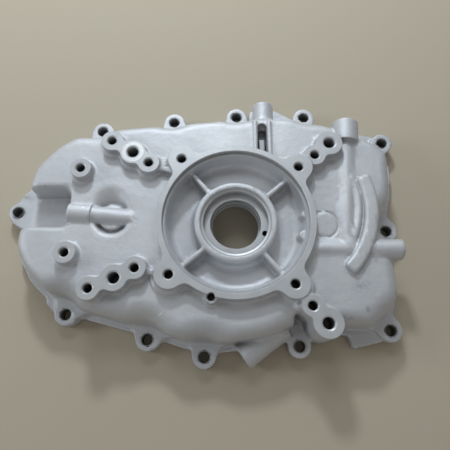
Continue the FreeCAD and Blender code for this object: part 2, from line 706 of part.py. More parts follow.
def finish(doc, housing):
    """Checks every object of the document, then writes the casting."""
    doc.recompute()
    for item in doc.Objects:
        if "Invalid" in item.State or "Error" in item.State:
            raise RuntimeError(f"{item.Name} failed: {item.State}")
    shape = housing.Shape
    if shape.isNull() or not shape.isValid() or len(shape.Solids) != 1:
        raise RuntimeError("the housing is not one valid solid")
    os.makedirs("parts", exist_ok=True)
    shape.exportStep(f"parts/{housing.Label}.step")


shell = build_shell(doc)
fittings = build_fittings(doc)
drillings = build_drillings(doc)
casting = doc.addObject("Part::Fuse", "Casting")
casting.Base = shell
casting.Tool = fittings
housing = doc.addObject("Part::Cut", "Housing")
housing.Base = casting
housing.Tool = drillings
housing.Label = "housing"
finish(doc, housing)
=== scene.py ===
import bpy
import math
import numpy as np
import openvdb
from mathutils import Matrix, Vector, geometry


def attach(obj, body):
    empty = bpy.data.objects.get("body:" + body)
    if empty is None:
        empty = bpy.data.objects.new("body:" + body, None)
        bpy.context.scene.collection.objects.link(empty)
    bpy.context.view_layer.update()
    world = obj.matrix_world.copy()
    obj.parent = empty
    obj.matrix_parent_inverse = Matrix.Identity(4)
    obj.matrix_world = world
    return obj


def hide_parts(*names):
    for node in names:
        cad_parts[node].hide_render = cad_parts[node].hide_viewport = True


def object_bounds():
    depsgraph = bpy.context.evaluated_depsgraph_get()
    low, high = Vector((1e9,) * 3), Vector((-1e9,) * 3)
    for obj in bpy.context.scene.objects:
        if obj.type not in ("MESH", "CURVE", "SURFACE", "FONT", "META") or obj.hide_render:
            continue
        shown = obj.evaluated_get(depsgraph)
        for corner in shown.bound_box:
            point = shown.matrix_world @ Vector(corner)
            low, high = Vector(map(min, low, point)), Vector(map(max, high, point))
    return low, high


# One-piece die cast engine side cover. The casting is built as a distance field in
# millimetres, with the fillets of a casting wherever two forms meet, and then turned
# into a mesh. Machined faces, threads and marks follow.

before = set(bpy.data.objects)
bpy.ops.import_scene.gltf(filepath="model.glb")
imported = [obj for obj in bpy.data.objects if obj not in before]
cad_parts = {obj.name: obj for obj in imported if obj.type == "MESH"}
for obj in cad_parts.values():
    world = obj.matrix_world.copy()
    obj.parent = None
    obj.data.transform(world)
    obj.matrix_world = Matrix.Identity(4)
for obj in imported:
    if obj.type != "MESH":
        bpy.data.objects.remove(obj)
cad_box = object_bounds()

STEP = 0.6
LOW = np.array([-197.4, -113.4, -2.4])
HIGH = np.array([144.0, 120.0, 47.4])
COUNT = np.ceil((HIGH - LOW) / STEP).astype(int) + 1
AXES = [(LOW[i] + STEP * np.arange(COUNT[i])).astype(np.float32) for i in range(3)]

# Levels of the flange plates, the ears, the shell, the bosses, the ring, the hub and the recess floor
FLANGE_TOP, FOOT, SHELL_TOP, BOSS_TOP = 9.0, 12.0, 36.0, 44.0
RING_TOP, HUB_TOP, RECESS_FLOOR = 45.0, 38.0, 26.0
# A level above everything
ABOVE = 60.0
# Thickness of the shell, and radius of the plain holes in the ears
WALL, EAR_HOLE = 4.5, 4.5
# Radii about the shaft axis: outside and register of the ring, seal and bearing bore, shaft bore
RING, REGISTER, SEAL, SHAFT = 62.1, 57.3, 26.0, 20.5
# Level of the seat below the seal
SEAL_SEAT = 30.0

# Corners of the shell's foot, clockwise from the left: x, y, rounding
SHELL = [
    (-173, 24, 16), (-169, 50, 22), (-153, 69, 20), (-137, 80, 24), (-120, 83, 24), (-101, 88, 24),
    (-60, 92, 40), (10, 98.5, 60), (52, 98.5, 30), (84, 90, 20), (108, 78, 16), (122, 75.5, 14),
    (132, 61, 14), (129.5, 32, 18), (123.5, 8, 20), (124.8, -52, 24), (120, -72, 14), (106, -80, 14),
    (48, -79, 12), (22, -88, 14), (-12, -93, 24), (-38, -90.5, 20), (-62, -82.5, 18), (-112, -69.5, 30),
    (-124, -66, 14), (-134, -57.5, 12), (-146, -55.5, 16), (-163, -40, 22), (-175, -20, 22),
]
# Flange plates: top, and corners as above
PLATES = [
    (FLANGE_TOP, [(12, 95, 2), (14, 117, 4), (38, 117, 4), (54, 108, 4), (56, 95, 2)]),
    (FLANGE_TOP, [(100, 78, 2), (108, 93, 4), (126, 90, 4), (130, 72, 2)]),
    (FLANGE_TOP, [(86, -80, 2), (112, -80, 2), (116, -90.5, 1.5), (92.5, -96, 1.5)]),
    (FLANGE_TOP, [(-139, -60, 2), (-143, -71, 2), (-153, -61.2, 1.5), (-154, -54, 2)]),
    (FOOT, [(-194, 18, 4), (-185, 29.5, 3), (-176, 38.5, 3), (-160, 38, 3), (-160, 0, 3), (-181, 0.5, 6),
            (-190, 6, 6)]),
]
# Bolt ears of the flange
EARS = [
    (-55.1, 103.1), (2.0, 108.6), (63.8, 108.1), (133.0, 82.0), (127.4, -0.7), (122.0, -82.3),
    (49.7, -94.2), (-24.7, -102.1), (-69.5, -89.0), (-135.4, -69.8), (-186.0, 16.2), (-119.9, 93.8),
]
# Rows of tapped bosses: x, y and radius of each
CHAINS = [
    [(-101.0, 67.3, 8.9), (-83.4, 57.1, 10.4), (-70.1, 47.7, 8.8)],
    [(-109.6, -53.6, 8.9), (-91.2, -45.8, 10.2), (-76.2, -38.3, 8.8)],
    [(64.3, 54.5, 8.8), (76.8, 65.4, 10.7)],
    [(55.4, -66.2, 8.2), (66.0, -78.6, 11.2)],
    [(-124.5, 43.0, 8.5)],
    [(-130.0, -26.5, 8.6)],
]
# The row that stands on the flange
FOOT_CHAIN = CHAINS[3]
# Directions of the ring's ears and of the ribs in its recess
SPOKES = [math.radians(40.7 + 90 * i) for i in range(4)]
RING_BOLTS = [(66.6 * math.cos(turn), 66.6 * math.sin(turn)) for turn in SPOKES]
# Threads: core radius, full radius and pitch
M8, M10 = (3.5, 4.1, 1.25), (4.4, 5.2, 1.5)
# Threaded holes: x, y, core radius, full radius, pitch and face level
THREADS = [(cx, cy, *(M8 if r < 9 else M10), BOSS_TOP) for chain in CHAINS for cx, cy, r in chain]
THREADS += [(cx, cy, *M8, RING_TOP) for cx, cy in RING_BOLTS]
# Depth of these holes, bevel at their mouth, and points in each turn of their walls
THREAD_DEPTH, MOUTH, THREAD_SIDES = 18.0, 0.5, 36

LOCATOR = (-18.8, -59.6)
OIL_HOLE = (23.4, -8.0)
DOWELS = [(42.0, 106.0), (98.0, -87.0)]
TROUGH = (-166.5, 12.8)
DISH = (-98.7, 4.6)
PAD = (69.8, -2.4)
# Middle of the slot and of the pocket at flange level, along x
SLOT_X, POCKET_X = 22.9, 50.0
# Where the galleries cross, and the ends of the ports
CROSSING, UPPER_PORT, SIDE_PORT = (86.5, -21.5, 31.0), (95.0, 90.0, 31.0), (130.0, -21.5, 31.0)
BREATHER, DRAIN = (25.0, 112.5, 22.0), (5.1, -102.2, 11.0)
# Arcs of the guide and of the thin ridge beside it, each through three points
GUIDE = [(102.6, 38.4), (107.2, 8.0), (85.8, -38.8)]
THIN_RIDGE = [(94.6, 38.5), (97.6, 6.0), (88.5, -20.0)]
# Ribs on the inner side, from the wall of the recess outward
RIBS = [
    ((-58, 0), (-133, -14)), ((-52, 26), (-118, 66)), ((-52, -26), (-120, -52)), ((4, 58), (6, 91)),
    ((58, 8), (118, 18)), ((50, -30), (112, -64)), ((-10, -58), (-14, -84)), ((46, 36), (110, 68)),
]


# ---------------------------------------------------------------- distance field


def smooth_min(a, b, k):
    m = np.maximum(k - np.abs(a - b), 0)
    return np.minimum(a, b) - m * m * (0.25 / k)


def smooth_max(a, b, k):
    m = np.maximum(k - np.abs(a - b), 0)
    return np.maximum(a, b) + m * m * (0.25 / k)


def round_max(a, b, r):
    """Intersection whose edge is rounded to radius r."""
    return np.minimum(np.maximum(a, b), -r) + np.hypot(np.maximum(a + r, 0), np.maximum(b + r, 0))


def disc(x, y, cx, cy, r):
    """Plan distance to a circle."""
    return np.hypot(x - cx, y - cy) - r


def capsule(x, y, a, b, r):
    """Plan distance to a straight bar with round ends."""
    dx, dy = b[0] - a[0], b[1] - a[1]
    t = np.clip(((x - a[0]) * dx + (y - a[1]) * dy) / (dx * dx + dy * dy), 0, 1)
    return np.hypot(x - a[0] - t * dx, y - a[1] - t * dy) - r


def bar(x, y, a, b, half):
    """Plan distance to a straight bar with square ends."""
    dx, dy = b[0] - a[0], b[1] - a[1]
    length = math.hypot(dx, dy)
    dx, dy = dx / length, dy / length
    along = np.abs((x - (a[0] + b[0]) / 2) * dx + (y - (a[1] + b[1]) / 2) * dy) - length / 2
    across = np.abs((y - a[1]) * dx - (x - a[0]) * dy) - half
    return np.maximum(along, across)


CORNER_STEPS = 6


def rounded(corners):
    """Points of a clockwise outline whose corners are rounded."""
    count = len(corners)
    points = []
    for i, (x, y, r) in enumerate(corners):
        p = Vector((x, y))
        back = Vector(corners[i - 1][:2]) - p
        on = Vector(corners[(i + 1) % count][:2]) - p
        half = back.angle(on) / 2
        reach = min(r / math.tan(half), 0.48 * back.length, 0.48 * on.length)
        radius = reach * math.tan(half)
        back.normalize()
        on.normalize()
        centre = p + (back + on).normalized() * (radius / math.sin(half))
        start, end = p + back * reach, p + on * reach
        for k in range(CORNER_STEPS + 1):
            spoke = (start - centre).lerp(end - centre, k / CORNER_STEPS).normalized() * radius
            points.append(centre + spoke)
    return [(q.x, q.y) for q in points]


def outline(x, y, points):
    """Signed plan distance to a closed outline."""
    best = None
    inside = np.zeros(np.broadcast(x, y).shape, bool)
    for i, (bx, by) in enumerate(points):
        ax, ay = points[i - 1]
        ex, ey = bx - ax, by - ay
        square = ex * ex + ey * ey
        if square < 1e-9:
            continue
        wx, wy = x - ax, y - ay
        t = np.clip((wx * ex + wy * ey) / square, 0, 1)
        gap = (wx - t * ex) ** 2 + (wy - t * ey) ** 2
        best = gap if best is None else np.minimum(best, gap)
        crosses = (ay > y) != (by > y)
        if ey:
            inside ^= crosses & (wx < ex * wy / ey)
    return np.where(inside, -1, 1) * np.sqrt(best)


class Field:
    """Solid as a grid of signed distances, negative inside."""

    def __init__(self, value):
        self.v = np.full(COUNT, value, np.float32)

    def window(self, low, high):
        parts, axes = [], []
        for i in range(3):
            a = max(int(math.floor((low[i] - LOW[i]) / STEP)), 0)
            b = min(int(math.ceil((high[i] - LOW[i]) / STEP)) + 1, COUNT[i])
            parts.append(slice(a, b))
            shape = [1, 1, 1]
            shape[i] = -1
            axes.append(AXES[i][a:b].reshape(shape))
        return tuple(parts), axes

    def _blend(self, low, high, shape, k, sign):
        where, (x, y, z) = self.window([c - k - 1.5 for c in low], [c + k + 1.5 for c in high])
        d = (shape(x, y, z) * sign).astype(np.float32)
        mix = smooth_min if sign > 0 else smooth_max
        self.v[where] = mix(self.v[where], d, k)

    def join(self, low, high, shape, k=2.0):
        self._blend(low, high, shape, k, 1)

    def cut(self, low, high, shape, k=0.6):
        self._blend(low, high, shape, k, -1)


def around(points, reach, low, high):
    """Lowest and highest corner of a box round some points, between two levels."""
    xs = [p[0] for p in points]
    ys = [p[1] for p in points]
    return (min(xs) - reach, min(ys) - reach, low), (max(xs) + reach, max(ys) + reach, high)


def slab(plan, z, low, high, r):
    """Plan distance raised between two levels, with rounded edges."""
    return round_max(plan, np.maximum(z - high, low - z), r)


def tube(x, y, z, a, b, r, edge=0.5):
    """Distance to a solid cylinder from a to b."""
    a, b = Vector(a), Vector(b)
    way = b - a
    length = way.length
    way.normalize()
    middle = (a + b) / 2
    along = (x - middle.x) * way.x + (y - middle.y) * way.y + (z - middle.z) * way.z
    square = (x - middle.x) ** 2 + (y - middle.y) ** 2 + (z - middle.z) ** 2 - along * along
    return round_max(np.sqrt(np.maximum(square, 0)) - r, np.abs(along) - length / 2, edge)


def soften(grid, width):
    """Blur of a plan grid, which rounds the outlines in it; width in millimetres."""
    reach = int(3 * width / STEP)
    kernel = np.exp(-0.5 * (np.arange(-reach, reach + 1) * STEP / width) ** 2)
    kernel /= kernel.sum()
    for axis in (0, 1):
        edge = [(reach, reach) if a == axis else (0, 0) for a in (0, 1)]
        wide = np.pad(grid, edge, mode="edge")
        grid = sum(w * np.take(wide, range(k, k + grid.shape[axis]), axis) for k, w in enumerate(kernel))
    return grid


# Over the plan: distance to the shell's foot, radius of its shoulder, distance to the nearest ear
X2, Y2 = AXES[0].reshape(-1, 1), AXES[1].reshape(1, -1)
foot = soften(outline(X2, Y2, rounded(SHELL)), 3.0).astype(np.float32)[:, :, None]
bend = np.clip(9.5 - Y2 * 0.03, 7.5, 11.5).astype(np.float32)[:, :, None]
bay = np.min([np.hypot(X2 - cx, Y2 - cy) for cx, cy in EARS], axis=0).astype(np.float32)[:, :, None]


def lean(z):
    """How far the side wall leans in at a level."""
    return 3.0 * np.clip(z, 0, SHELL_TOP) / 29.0 * np.clip(0.55 + Y2 / 110, 0.1, 1)[:, :, None]


def shell_shape(z, wall=0.0):
    """The shell's dome, hollowed softly round each bolt to clear its head; wall moves it inward."""
    side = smooth_max(foot + lean(z), 8.5 + 0.38 * np.maximum(z - FOOT, 0) - bay, 7.0)
    return round_max(side + wall, z - SHELL_TOP + wall, bend - wall)


def build_solid():
    """The outside of the casting, without its cavity, holes and machined faces."""
    s = Field(9.0)
    plan = foot
    for cx, cy in EARS:
        plan = smooth_min(plan, disc(X2, Y2, cx, cy, 9.0).astype(np.float32)[:, :, None], 17.0)
    z = AXES[2].reshape(1, 1, -1)
    s.v = slab(foot - 6.0, z, 0.0, FLANGE_TOP, 0.7)
    s.v = smooth_min(s.v, slab(plan, z, 0.0, FOOT, 0.7), 1.5)
    for top, corners in PLATES:
        points = rounded(corners)
        s.join(*around(points, 2, 0, top), lambda x, y, z: slab(outline(x, y, points), z, 0, top, 0.7), 1.5)
    s.v = smooth_min(s.v, shell_shape(z), 3.0)
    cut_hollows(s)
    add_bosses(s)
    add_tubes(s)
    add_guide(s)
    add_ring(s)
    return s


def trough(x, y, z):
    plan = smooth_max(np.abs(x - TROUGH[0]) - 32.6, np.abs(y - TROUGH[1]) - 15.4 - (z - FOOT) * 0.03, 7.0)
    return smooth_max(plan, FOOT - z, 2.0)


def pocket(x, y, z):
    plan = smooth_max(np.abs(x - POCKET_X) - 6.4, y + 70.5, 3.0)
    return smooth_max(plan, FOOT - z, 2.0)


def cut_hollows(s):
    # open trough on the left, with soft edges
    s.cut((-200, -8, 10), (-126, 40, 50), trough, 5.0)
    # pocket at flange level beside the lower right bosses
    s.cut((40, -100, 10), (60, -66, 50), pocket, 2.0)
    # dish round the inner end of the stepped tube, with a low round island in it
    s.cut((-128, -24, 20), (-68, 36, 50),
          lambda x, y, z: smooth_max(disc(x, y, *DISH, 12.4) - (z - 30.0) * 0.4, 30.0 - z, 2.0), 3.5)
    s.cut((-128, 8, 20), (-74, 42, 50),
          lambda x, y, z: np.sqrt((x + 101.0) ** 2 + (y - 15.0) ** 2 + (z - 44.5) ** 2) - 13.5, 6.0)
    s.join((-114, -12, 18), (-84, 22, 40),
           lambda x, y, z: slab(disc(x, y, *DISH, 11.0) + (z - 30) * 0.1, z, 18, 34.0, 1.6), 1.0)
    # narrow slot below the breather port, between two raised edges
    for cx in (17.0, 28.8):
        s.join((cx - 4, 58, 30), (cx + 4, 96, 40),
               lambda x, y, z: slab(bar(x, y, (cx, 58), (cx, 90), 1.4), z, 20, 37.4, 1.0), 2.0)
    s.cut((18, 60, 20), (28, 90, 50),
          lambda x, y, z: np.maximum(capsule(x, y, (SLOT_X, 58), (SLOT_X, 84.4), 3.5), 25.0 - z), 1.0)
    s.join((18, 56, 20), (28, 82, 34),
           lambda x, y, z: slab(bar(x, y, (SLOT_X, 58), (SLOT_X, 76), 2.7), z, 20, 29.5, 0.8), 1.0)


def chain_plan(chain, x, y):
    """Plan distance to a row of bosses and the broad webs between them."""
    d = None
    for i, (cx, cy, r) in enumerate(chain):
        c = disc(x, y, cx, cy, r)
        d = c if d is None else smooth_min(d, c, 4.0)
        if i:
            d = smooth_min(d, capsule(x, y, chain[i - 1][:2], (cx, cy), 4.8), 3.0)
    return d


def faced(plan, z, top):
    """Boss that leans out downward and ends just below the faced plate on it."""
    return slab(plan - (top - z) * 0.05 + 0.1, z, 0, top - 0.5, 0.3)


def add_bosses(s):
    for chain in CHAINS:
        low, high = around(chain, 14, 8 if chain is FOOT_CHAIN else 30, 46)
        s.join(low, high, lambda x, y, z: faced(chain_plan(chain, x, y), z, BOSS_TOP), 2.6)
    # low ties from the inner bosses to the ring: ends, half width and top
    ties = [
        ((-66.0, 45.5), (-50.0, 41.5), 2.2, 41.0), ((-72.0, -38.5), (-50.0, -44.5), 2.6, 40.0),
        ((-67.0, 49.0), (-45.0, 50.6), 3.0, 39.5), ((52.0, 47.0), (64.3, 54.5), 4.6, 42.4),
        ((43.3, -51.0), (55.4, -66.2), 3.0, 38.5),
    ]
    for a, b, w, top in ties:
        s.join(*around([a, b], 5, 30, 44), lambda x, y, z: slab(capsule(x, y, a, b, w), z, 30, top, 1.2), 2.8)
    # low round feet of the ring's lower ears
    for cx, cy in RING_BOLTS[2:]:
        s.join((cx - 16, cy - 16, 30), (cx + 16, cy + 16, 44),
               lambda x, y, z: slab(disc(x, y, cx * 1.03, cy * 1.03, 13.4), z, 30, 38.4, 1.6), 2.0)
    # half-round boss of the locating hole
    s.join((-28, -70, 30), (-10, -52, 44),
           lambda x, y, z: slab(disc(x, y, *LOCATOR, 5.4), z, 30, 41.0, 0.8), 2.0)
    # straight corner and small knob beside the lower right bosses
    s.join((44, -74, 30), (62, -54, 44),
           lambda x, y, z: slab(bar(x, y, (47.5, -58.5), (55.5, -62.0), 4.2), z, 30, 42.6, 0.8), 2.0)
    s.join((40, -74, 20), (52, -60, 42),
           lambda x, y, z: np.sqrt((x - 45.8) ** 2 + (y + 66.0) ** 2 + (z - 36.6) ** 2) - 4.2, 1.0)
    s.join((34, -84, 8), (48, -64, 36),
           lambda x, y, z: tube(x, y, z, (40.4, -78.5, 10), (41.2, -76.0, 25), 3.4, 2.4), 1.6)


def add_tubes(s):
    """Galleries, ports and the stepped tube."""
    cx, cy, level = CROSSING
    port_x, port_y, _ = UPPER_PORT
    way = Vector((port_x - cx, port_y - cy)).normalized()
    s.join((78, -30, 22), (108, 94, 44), lambda x, y, z: tube(x, y, z, CROSSING, UPPER_PORT, 7.2), 1.2)
    back = (port_x - way.x * 19, port_y - way.y * 19, level)
    s.join((78, 64, 16), (110, 94, 46), lambda x, y, z: tube(x, y, z, back, UPPER_PORT, 11.0, 0.7), 1.4)
    s.join((54, -32, 20), (134, -10, 43), lambda x, y, z: tube(x, y, z, (57, cy, level), SIDE_PORT, 7.7), 1.1)
    s.join((98, -34, 18), (134, -10, 44),
           lambda x, y, z: tube(x, y, z, (104, cy, level), SIDE_PORT, 8.2, 1.0), 1.2)
    # web below the side port
    s.join((118, -32, 8), (128, -8, 34),
           lambda x, y, z: slab(bar(x, y, (112, -27.0), (126, -27.0), 1.8), z, 8, 27.0, 0.8), 2.0)
    s.join((14, 80, 10), (36, 114, 34),
           lambda x, y, z: tube(x, y, z, (25, 84, 22), BREATHER, 9.3, 0.7), 2.0)
    turn = math.radians(215.8)
    inner = (DRAIN[0] - 40 * math.cos(turn), DRAIN[1] - 40 * math.sin(turn), DRAIN[2])
    s.join((-8, -116, -2), (46, -72, 26),
           lambda x, y, z: tube(x, y, z, inner, DRAIN, 10.4, 0.6), 2.4)
    # stepped tube from the trough, across the dish and into its far side
    s.join((-140, -2, 18), (-72, 24, 44),
           lambda x, y, z: tube(x, y, z, (-80, 4.2, 30.0), (-133, 8.0, 32.4), 7.4, 4.5), 1.4)
    s.join((-140, -2, 18), (-110, 24, 44),
           lambda x, y, z: tube(x, y, z, (-114.8, 6.7, 32.0), (-133.2, 8.0, 32.4), 8.7, 0.7), 0.7)


def arc_band(x, y, points, half):
    """Plan distance to a band along the arc through three points."""
    (ax, ay), (bx, by), (cx, cy) = points
    d = 2 * (ax * (by - cy) + bx * (cy - ay) + cx * (ay - by))
    a2, b2, c2 = ax * ax + ay * ay, bx * bx + by * by, cx * cx + cy * cy
    ux = (a2 * (by - cy) + b2 * (cy - ay) + c2 * (ay - by)) / d
    uy = (a2 * (cx - bx) + b2 * (ax - cx) + c2 * (bx - ax)) / d
    r = math.hypot(ax - ux, ay - uy)
    band = np.abs(np.hypot(x - ux, y - uy) - r) - half
    first, last = math.atan2(ay - uy, ax - ux), math.atan2(cy - uy, cx - ux)
    middle, spread = (first + last) / 2, abs(first - last) / 2
    turn = (np.arctan2(y - uy, x - ux) - middle + np.pi) % (2 * np.pi) - np.pi
    return round_max(band, (np.abs(turn) - spread) * r, min(half, 3.0))


def add_guide(s):
    s.join((76, -40, 30), (106, 44, 40),
           lambda x, y, z: slab(arc_band(x, y, THIN_RIDGE, 2.0), z, 20, 38.0, 1.8), 2.8)
    s.join((76, -48, 30), (118, 46, 43),
           lambda x, y, z: slab(arc_band(x, y, GUIDE, 5.5), z, 20, 40.8, 2.6), 1.0)
    # round pad, seen only by the groove round it
    s.cut((56, -16, 34), (84, 12, 38),
          lambda x, y, z: np.hypot(disc(x, y, *PAD, 10.7), z - 36.4) - 1.0, 0.6)


def ring_plan(x, y):
    """Plan distance to the outside of the pilot ring with its four ears."""
    d = np.hypot(x, y) - RING
    for cx, cy in RING_BOLTS:
        d = smooth_min(d, disc(x, y, cx, cy, 11.2), 8.0)
    return d


def add_ring(s):
    s.join((-80, -80, 20), (80, 80, 47), lambda x, y, z: faced(ring_plan(x, y), z, RING_TOP), 2.8)

    def recess(x, y, z):
        r = np.hypot(x, y)
        outer = r - (52.6 + (z - RECESS_FLOOR) * 0.19)
        inner = 33.0 + (HUB_TOP - z) * 0.06 - r
        return smooth_max(smooth_max(outer, inner, 1.5), RECESS_FLOOR - z, 5.0)

    s.cut((-60, -60, 24), (60, 60, ABOVE), recess, 0.8)
    # open above the hub
    s.cut((-56, -56, 36), (56, 56, ABOVE),
          lambda x, y, z: np.maximum(np.hypot(x, y) - 40.0, HUB_TOP - 0.1 - z), 2.4)
    # ribs between hub and ring, and two half-round bumps on the ring's wall
    for turn in SPOKES:
        a = (30 * math.cos(turn), 30 * math.sin(turn))
        b = (58 * math.cos(turn), 58 * math.sin(turn))
        s.join(*around([a, b], 4, 22, 40), lambda x, y, z: slab(
            bar(x, y, a, b, 1.7) - np.clip(36.5 - z, 0, 12) * 0.05, z, 20, 36.5, 0.8), 1.8)
    for cx, cy, r, top in ((53.4, -11.4, 4.0, 38.0), (54.8, 6.0, 3.0, 37.0)):
        s.join((cx - 6, cy - 6, 22), (cx + 4, cy + 6, 40),
               lambda x, y, z: slab(disc(x, y, cx, cy, r), z, 20, top, 1.2), 1.6)


def build_cavity():
    """Space inside the cover, with everything that hangs into it left solid."""
    c = Field(9.0)
    z = AXES[2].reshape(1, 1, -1)
    c.v = shell_shape(z, WALL)

    def keep(low, high, shape, k=2.5):
        c.cut(low, high, shape, k)

    keep((-200, -10, -4), (-128, 36, 50),
         lambda x, y, z: np.maximum(np.abs(x - TROUGH[0]) - 35.0, np.abs(y - TROUGH[1]) - 20.4))
    keep((36, -100, -4), (64, -62, 50), lambda x, y, z: np.maximum(np.abs(x - POCKET_X) - 11.0, y + 66.0))
    keep((-126, -18, 10), (-72, 32, 50), lambda x, y, z: np.maximum(disc(x, y, -99.5, 6.5, 20.0), 24.0 - z))
    keep((10, 50, 10), (36, 92, 50),
         lambda x, y, z: np.maximum(bar(x, y, (SLOT_X, 56), (SLOT_X, 90), 8.0), 18.5 - z))
    keep((-66, -66, -4), (66, 66, 50), lambda x, y, z: np.maximum(np.hypot(x, y) - 60.1, 21.5 - z))
    keep((-40, -40, -4), (40, 40, 50), lambda x, y, z: np.hypot(x, y) - 32.8)
    for chain in CHAINS:
        level = -5.0 if chain is FOOT_CHAIN else 20.0
        for cx, cy, r in chain:
            keep((cx - 12, cy - 12, level - 3), (cx + 12, cy + 12, 50),
                 lambda x, y, z: np.maximum(disc(x, y, cx, cy, r), level - z))
    for cx, cy in RING_BOLTS:
        keep((cx - 12, cy - 12, 16), (cx + 12, cy + 12, 50),
             lambda x, y, z: np.maximum(disc(x, y, cx, cy, 9.6), 20.0 - z))
    for a, b in RIBS:
        keep(*around([a, b], 4, 20, 40), lambda x, y, z: np.maximum(bar(x, y, a, b, 2.0), 22.5 - z))
    tubes = [
        (CROSSING, UPPER_PORT, 7.2), ((57, *CROSSING[1:]), SIDE_PORT, 7.2),
        ((25, 84, 22), (25, 112, 22), 9.3), ((37.5, -78.8, 11), DRAIN, 10.4),
        ((-84, 4.5, 30.1), (-135, 8.0, 32.4), 8.0),
    ]
    for a, b, r in tubes:
        keep(*around([a, b], r + 2, a[2] - r - 2, 42), lambda x, y, z: tube(x, y, z, a, b, r))
    return c


def bore(s, x0, y0, r, low, high):
    """Cuts an upright round hole between two levels."""
    s.cut((x0 - r, y0 - r, low - 1), (x0 + r, y0 + r, high + 1),
          lambda x, y, z: np.maximum(disc(x, y, x0, y0, r), np.maximum(low - z, z - high)), 0.3)


def drill(s):
    """Bores and holes. Those that get a turned lining or a thread are cut a little wide for it."""
    s.cut((-59, -59, 40), (59, 59, ABOVE), lambda x, y, z: np.maximum(np.hypot(x, y) - 57.8, 41.2 - z), 0.3)

    def bores(x, y, z):
        r = np.hypot(x, y)
        d = np.maximum(r - 28.6, 35.2 - z)
        d = np.minimum(d, np.maximum(r - 26.5, 29.6 - z))
        d = np.minimum(d, r - 19.5)
        d = np.minimum(d, np.maximum(r - 22.4, 19.2 - z))
        return np.minimum(d, np.maximum(r - 26.4, z - 18.2))

    s.cut((-31, -31, -4), (31, 31, ABOVE), bores, 0.3)
    bore(s, *OIL_HOLE, 2.6, 15.0, 33.0)
    for cx, cy in EARS:
        bore(s, cx, cy, EAR_HOLE + 0.3, -6.0, 16.0)
    for cx, cy, _, major, _, top in THREADS:
        bore(s, cx, cy, major + 0.55, top - THREAD_DEPTH - 0.5, 50.0)
    bore(s, *LOCATOR, 3.0, 30.5, 50.0)
    for cx, cy in DOWELS:
        bore(s, cx, cy, 4.0, -6.0, 6.5)
    port_drillings = [
        ((25, 98.5, 22), (25, 116, 22)), ((116, -21.5, 31), (133, -21.5, 31)),
        ((94.0, 76.0, 31), (95.3, 93.0, 31)), ((-121.5, 7.2, 32.2), (-137, 8.2, 32.4)),
        ((16.4, -94.0, 11), (2.6, -104.0, 11)),
    ]
    for a, b in port_drillings:
        s.cut(*around([a, b], 7, min(a[2], b[2]) - 7, max(a[2], b[2]) + 7),
              lambda x, y, z: tube(x, y, z, a, b, 5.0, 0.2), 0.4)


def waviness():
    """Slow unevenness of a casting, well under half a millimetre."""
    rng = np.random.default_rng(7)
    coarse = rng.normal(0, 1, (26, 18, 5))
    w = coarse
    for axis in range(3):
        n = COUNT[axis]
        at = np.linspace(0, w.shape[axis] - 1.001, n)
        i = at.astype(int)
        t = at - i
        t = t * t * (3 - 2 * t)
        t = t.reshape([-1 if k == axis else 1 for k in range(3)])
        w = np.take(w, i, axis) * (1 - t) + np.take(w, i + 1, axis) * t
    return w.astype(np.float32)


def sample(grid, points):
    """Value of a grid at points given in grid steps."""
    limit = np.array(grid.shape) - 1.001
    p = np.clip(points, 0, limit)
    i = p.astype(int)
    t = p - i
    total = 0.0
    for corner in range(8):
        o = [(corner >> a) & 1 for a in range(3)]
        w = np.prod([t[:, a] if o[a] else 1 - t[:, a] for a in range(3)], axis=0)
        total = total + w * grid[i[:, 0] + o[0], i[:, 1] + o[1], i[:, 2] + o[2]]
    return total


def field_mesh(name, grid, adaptivity):
    """Polygons of the field's surface, with normals taken from the field itself."""
    volume = openvdb.FloatGrid(3.0)
    volume.copyFromArray(np.clip(grid, -3.0, 3.0))
    points, triangles, quads = volume.convertToPolygons(isovalue=0.0, adaptivity=adaptivity)
    normals = np.stack([
        sample(grid, points + shift) - sample(grid, points - shift) for shift in np.eye(3) * 0.6
    ], axis=1)
    normals /= np.maximum(np.linalg.norm(normals, axis=1, keepdims=True), 1e-9)
    world = np.clip((points * STEP + LOW) * 0.001, *[np.array(c) for c in cad_box])
    faces = [tuple(int(i) for i in f) for f in triangles] + [tuple(int(i) for i in f) for f in quads]
    # a few faces tell whether all of them have to be turned to face outward
    some = faces[:4000]
    a, b, c = (world[[f[k] for f in some]] for k in range(3))
    facing = np.einsum("ij,ij->i", np.cross(b - a, c - a), normals[[f[0] for f in some]])
    if np.median(facing) < 0:
        faces = [f[::-1] for f in faces]
    mesh = bpy.data.meshes.new(name)
    mesh.from_pydata(world.tolist(), [], faces)
    mesh.validate()
    mesh.shade_smooth()
    mesh.normals_split_custom_set_from_vertices(normals.tolist())
    return mesh


def add_object(name, mesh):
    piece = bpy.data.objects.new(name, mesh)
    bpy.context.scene.collection.objects.link(piece)
    return piece


# ---------------------------------------------------------------- materials

BLACK, WHITE = (0.0, 0.0, 0.0), (1.0, 1.0, 1.0)


def new_material(name):
    material = bpy.data.materials.new(name)
    material.use_nodes = True
    tree = material.node_tree
    return material, tree, tree.nodes["Principled BSDF"]


def node(tree, kind, **values):
    item = tree.nodes.new(kind)
    for key, value in values.items():
        if key in item.inputs:
            item.inputs[key].default_value = value
        else:
            setattr(item, key, value)
    return item


def noise(tree, scale, detail=4.0, rough=0.55):
    """Noise over the object's own metres."""
    where = node(tree, "ShaderNodeTexCoord")
    item = node(tree, "ShaderNodeTexNoise", Scale=scale, Detail=detail, Roughness=rough)
    tree.links.new(where.outputs["Object"], item.inputs["Vector"])
    return item.outputs["Fac"]


